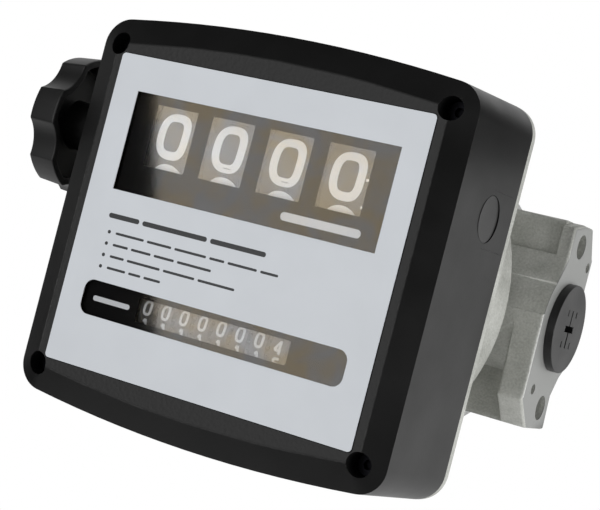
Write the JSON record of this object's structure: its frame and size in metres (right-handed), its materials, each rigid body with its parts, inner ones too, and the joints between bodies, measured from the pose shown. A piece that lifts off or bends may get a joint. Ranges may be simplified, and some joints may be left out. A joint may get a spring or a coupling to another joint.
{
  "type": "fuel flow meter",
  "caption": "Mechanical fuel flow meter with a nutating-disc measuring chamber, flanged side ports, number-wheel registers under a square dial and a side reset knob.",
  "frame": {"origin": "middle of the flat back face of the back cover", "axes": "+Z out of the dial, +Y up the dial, +X along the ports from inlet to outlet"},
  "size_m": [0.2041, 0.1604, 0.158],
  "materials": {
    "cast_body": "cast, satin",
    "machined_cover": "machined",
    "chamber_metal": "machined",
    "steel_screws": "zinc plated",
    "steel_parts": "bright",
    "strainer_steel": "perforated sheet",
    "seal_rubber": "matte",
    "disc_plastic": "filled carbon-grey",
    "brass_gears": "satin",
    "gear_plastic": "natural acetal",
    "number_wheels": "matte black, pale numbers",
    "cover_plastic": "moulded, satin black",
    "clear_window": "clear, glossy",
    "dial_print": "printed sheet, satin",
    "panel_print": "printed card, matte black",
    "knob_plastic": "moulded, matte black",
    "cover_trim": "moulded, matte black",
    "plug_plastic": "moulded, dull grey-black"
  },
  "bodies": {
    "housing": {"chamber_cover": "machined_cover", "chamber_cover_screws": "steel_screws", "chamber_cover_seal": "seal_rubber", "chamber_lower": "chamber_metal", "chamber_upper": "chamber_metal", "dial_card": "panel_print", "dial_label": "dial_print", "dial_window": "clear_window", "front_cover": "cover_plastic", "front_cover_screws": "steel_screws", "gear_plate": "steel_parts", "gear_plate_posts": "brass_gears", "inlet_strainer": "strainer_steel", "knob_bush": "cover_trim", "meter_body": "cast_body", "outlet_port_plug": "plug_plastic", "partition_plate": "steel_parts", "register_rods": "steel_parts", "shaft_seal": "seal_rubber", "side_blank": "cover_trim", "side_register_plates": "steel_parts", "total_register_plates": "steel_parts"},
    "crank": {"drive_crank": "steel_parts", "output_shaft": "steel_parts", "output_pinion": "brass_gears"},
    "disc": {"nutating_disc": "disc_plastic"},
    "intermediate": {"intermediate_gear": "gear_plastic"},
    "upright": {"upright_shaft": "steel_parts", "upright_gear": "gear_plastic", "bevel_pinion": "gear_plastic"},
    "drive": {"drive_shaft": "gear_plastic", "bevel_wheel": "gear_plastic"},
    "idler": {"total_idler": "gear_plastic"},
    "batch_units": {"batch_wheel_4": "number_wheels", "batch_gear": "gear_plastic"},
    "batch_carry_1": {"batch_transfer_3": "gear_plastic"},
    "batch_tens": {"batch_wheel_3": "number_wheels"},
    "batch_carry_2": {"batch_transfer_2": "gear_plastic"},
    "batch_hundreds": {"batch_wheel_2": "number_wheels"},
    "batch_carry_3": {"batch_transfer_1": "gear_plastic"},
    "batch_thousands": {"batch_wheel_1": "number_wheels"},
    "total_digit_1": {"total_wheel_8": "number_wheels", "total_shaft": "steel_parts"},
    "total_carry_1": {"total_transfer_7": "gear_plastic"},
    "total_digit_2": {"total_wheel_7": "number_wheels"},
    "total_carry_2": {"total_transfer_6": "gear_plastic"},
    "total_digit_3": {"total_wheel_6": "number_wheels"},
    "total_carry_3": {"total_transfer_5": "gear_plastic"},
    "total_digit_4": {"total_wheel_5": "number_wheels"},
    "total_carry_4": {"total_transfer_4": "gear_plastic"},
    "total_digit_5": {"total_wheel_4": "number_wheels"},
    "total_carry_5": {"total_transfer_3": "gear_plastic"},
    "total_digit_6": {"total_wheel_3": "number_wheels"},
    "total_carry_6": {"total_transfer_2": "gear_plastic"},
    "total_digit_7": {"total_wheel_2": "number_wheels"},
    "total_carry_7": {"total_transfer_1": "gear_plastic"},
    "total_digit_8": {"total_wheel_1": "number_wheels"},
    "knob": {"reset_knob": "knob_plastic", "batch_shaft": "steel_parts"}
  },
  "joints": [
    {"name": "crank_turn", "type": "hinge", "parent": "housing", "child": "crank", "pos_m": [0, 0, 0.0795], "axis": [0, 0, 1], "continuous": true},
    {"name": "disc_roll", "type": "hinge", "parent": "crank", "child": "disc", "pos_m": [0, 0, 0.0445], "axis": [0.2079, 0, 0.9781], "continuous": true},
    {"name": "intermediate_turn", "type": "hinge", "parent": "housing", "child": "intermediate", "pos_m": [0.01909, -0.01474, 0.086], "axis": [0, 0, 1], "continuous": true},
    {"name": "upright_turn", "type": "hinge", "parent": "housing", "child": "upright", "pos_m": [0.0432, -0.01409, 0.086], "axis": [0, 0, 1], "continuous": true},
    {"name": "drive_turn", "type": "hinge", "parent": "housing", "child": "drive", "pos_m": [0.0313, -0.01409, 0.12457], "axis": [1, 0, 0], "continuous": true},
    {"name": "idler_turn", "type": "hinge", "parent": "housing", "child": "idler", "pos_m": [0.0331, -0.02719, 0.12702], "axis": [1, 0, 0], "continuous": true},
    {"name": "batch_units_turn", "type": "hinge", "parent": "housing", "child": "batch_units", "pos_m": [0.03765, 0.031, 0.123], "axis": [1, 0, 0], "continuous": true},
    {"name": "batch_carry_1_turn", "type": "hinge", "parent": "housing", "child": "batch_carry_1", "pos_m": [0.0251, 0.06472, 0.123], "axis": [1, 0, 0], "continuous": true},
    {"name": "batch_tens_turn", "type": "hinge", "parent": "housing", "child": "batch_tens", "pos_m": [0.01255, 0.031, 0.123], "axis": [1, 0, 0], "continuous": true},
    {"name": "batch_carry_2_turn", "type": "hinge", "parent": "housing", "child": "batch_carry_2", "pos_m": [0, 0.06472, 0.123], "axis": [1, 0, 0], "continuous": true},
    {"name": "batch_hundreds_turn", "type": "hinge", "parent": "housing", "child": "batch_hundreds", "pos_m": [-0.01255, 0.031, 0.123], "axis": [1, 0, 0], "continuous": true},
    {"name": "batch_carry_3_turn", "type": "hinge", "parent": "housing", "child": "batch_carry_3", "pos_m": [-0.0251, 0.06472, 0.123], "axis": [1, 0, 0], "continuous": true},
    {"name": "batch_thousands_turn", "type": "hinge", "parent": "housing", "child": "batch_thousands", "pos_m": [-0.03765, 0.031, 0.123], "axis": [1, 0, 0], "continuous": true},
    {"name": "total_digit_1_turn", "type": "hinge", "parent": "housing", "child": "total_digit_1", "pos_m": [0.0279, -0.0335, 0.144], "axis": [1, 0, 0], "continuous": true},
    {"name": "total_carry_1_turn", "type": "hinge", "parent": "housing", "child": "total_carry_1", "pos_m": [0.0238, -0.04622, 0.144], "axis": [1, 0, 0], "continuous": true},
    {"name": "total_digit_2_turn", "type": "hinge", "parent": "housing", "child": "total_digit_2", "pos_m": [0.0197, -0.0335, 0.144], "axis": [1, 0, 0], "continuous": true},
    {"name": "total_carry_2_turn", "type": "hinge", "parent": "housing", "child": "total_carry_2", "pos_m": [0.0156, -0.04622, 0.144], "axis": [1, 0, 0], "continuous": true},
    {"name": "total_digit_3_turn", "type": "hinge", "parent": "housing", "child": "total_digit_3", "pos_m": [0.0115, -0.0335, 0.144], "axis": [1, 0, 0], "continuous": true},
    {"name": "total_carry_3_turn", "type": "hinge", "parent": "housing", "child": "total_carry_3", "pos_m": [0.0074, -0.04622, 0.144], "axis": [1, 0, 0], "continuous": true},
    {"name": "total_digit_4_turn", "type": "hinge", "parent": "housing", "child": "total_digit_4", "pos_m": [0.0033, -0.0335, 0.144], "axis": [1, 0, 0], "continuous": true},
    {"name": "total_carry_4_turn", "type": "hinge", "parent": "housing", "child": "total_carry_4", "pos_m": [-0.0008, -0.04622, 0.144], "axis": [1, 0, 0], "continuous": true},
    {"name": "total_digit_5_turn", "type": "hinge", "parent": "housing", "child": "total_digit_5", "pos_m": [-0.0049, -0.0335, 0.144], "axis": [1, 0, 0], "continuous": true},
    {"name": "total_carry_5_turn", "type": "hinge", "parent": "housing", "child": "total_carry_5", "pos_m": [-0.009, -0.04622, 0.144], "axis": [1, 0, 0], "continuous": true},
    {"name": "total_digit_6_turn", "type": "hinge", "parent": "housing", "child": "total_digit_6", "pos_m": [-0.0131, -0.0335, 0.144], "axis": [1, 0, 0], "continuous": true},
    {"name": "total_carry_6_turn", "type": "hinge", "parent": "housing", "child": "total_carry_6", "pos_m": [-0.0172, -0.04622, 0.144], "axis": [1, 0, 0], "continuous": true},
    {"name": "total_digit_7_turn", "type": "hinge", "parent": "housing", "child": "total_digit_7", "pos_m": [-0.0213, -0.0335, 0.144], "axis": [1, 0, 0], "continuous": true},
    {"name": "total_carry_7_turn", "type": "hinge", "parent": "housing", "child": "total_carry_7", "pos_m": [-0.0254, -0.04622, 0.144], "axis": [1, 0, 0], "continuous": true},
    {"name": "total_digit_8_turn", "type": "hinge", "parent": "housing", "child": "total_digit_8", "pos_m": [-0.0295, -0.0335, 0.144], "axis": [1, 0, 0], "continuous": true},
    {"name": "reset_knob_turn", "type": "hinge", "parent": "housing", "child": "knob", "pos_m": [-0.0864, 0.031, 0.123], "axis": [1, 0, 0], "continuous": true}
  ],
  "couplings": [
    {"joint": "disc_roll", "follows": "crank_turn", "ratio": -1},
    {"joint": "intermediate_turn", "follows": "crank_turn", "ratio": -0.2},
    {"joint": "upright_turn", "follows": "crank_turn", "ratio": 0.04},
    {"joint": "drive_turn", "follows": "crank_turn", "ratio": -0.02},
    {"joint": "idler_turn", "follows": "crank_turn", "ratio": 0.011429},
    {"joint": "batch_units_turn", "follows": "crank_turn", "ratio": 0.01},
    {"joint": "batch_carry_1_turn", "follows": "crank_turn", "ratio": -0.005},
    {"joint": "batch_tens_turn", "follows": "crank_turn", "ratio": 0.001},
    {"joint": "batch_carry_2_turn", "follows": "crank_turn", "ratio": -0.0005},
    {"joint": "batch_hundreds_turn", "follows": "crank_turn", "ratio": 0.0001},
    {"joint": "batch_carry_3_turn", "follows": "crank_turn", "ratio": -0.00005},
    {"joint": "batch_thousands_turn", "follows": "crank_turn", "ratio": 0.00001},
    {"joint": "total_digit_1_turn", "follows": "crank_turn", "ratio": -0.01},
    {"joint": "total_carry_1_turn", "follows": "crank_turn", "ratio": 0.0025},
    {"joint": "total_digit_2_turn", "follows": "crank_turn", "ratio": -0.001},
    {"joint": "total_carry_2_turn", "follows": "crank_turn", "ratio": 0.00025},
    {"joint": "total_digit_3_turn", "follows": "crank_turn", "ratio": -0.0001},
    {"joint": "total_carry_3_turn", "follows": "crank_turn", "ratio": 0.000025},
    {"joint": "total_digit_4_turn", "follows": "crank_turn", "ratio": -0.00001},
    {"joint": "total_carry_4_turn", "follows": "crank_turn", "ratio": 0.0000025},
    {"joint": "total_digit_5_turn", "follows": "crank_turn", "ratio": -0.000001},
    {"joint": "total_carry_5_turn", "follows": "crank_turn", "ratio": 0.00000025},
    {"joint": "total_digit_6_turn", "follows": "crank_turn", "ratio": -0.0000001},
    {"joint": "total_carry_6_turn", "follows": "crank_turn", "ratio": 0.000000025},
    {"joint": "total_digit_7_turn", "follows": "crank_turn", "ratio": -0.00000001},
    {"joint": "total_carry_7_turn", "follows": "crank_turn", "ratio": 0.0000000025},
    {"joint": "total_digit_8_turn", "follows": "crank_turn", "ratio": -0.000000001}
  ]
}
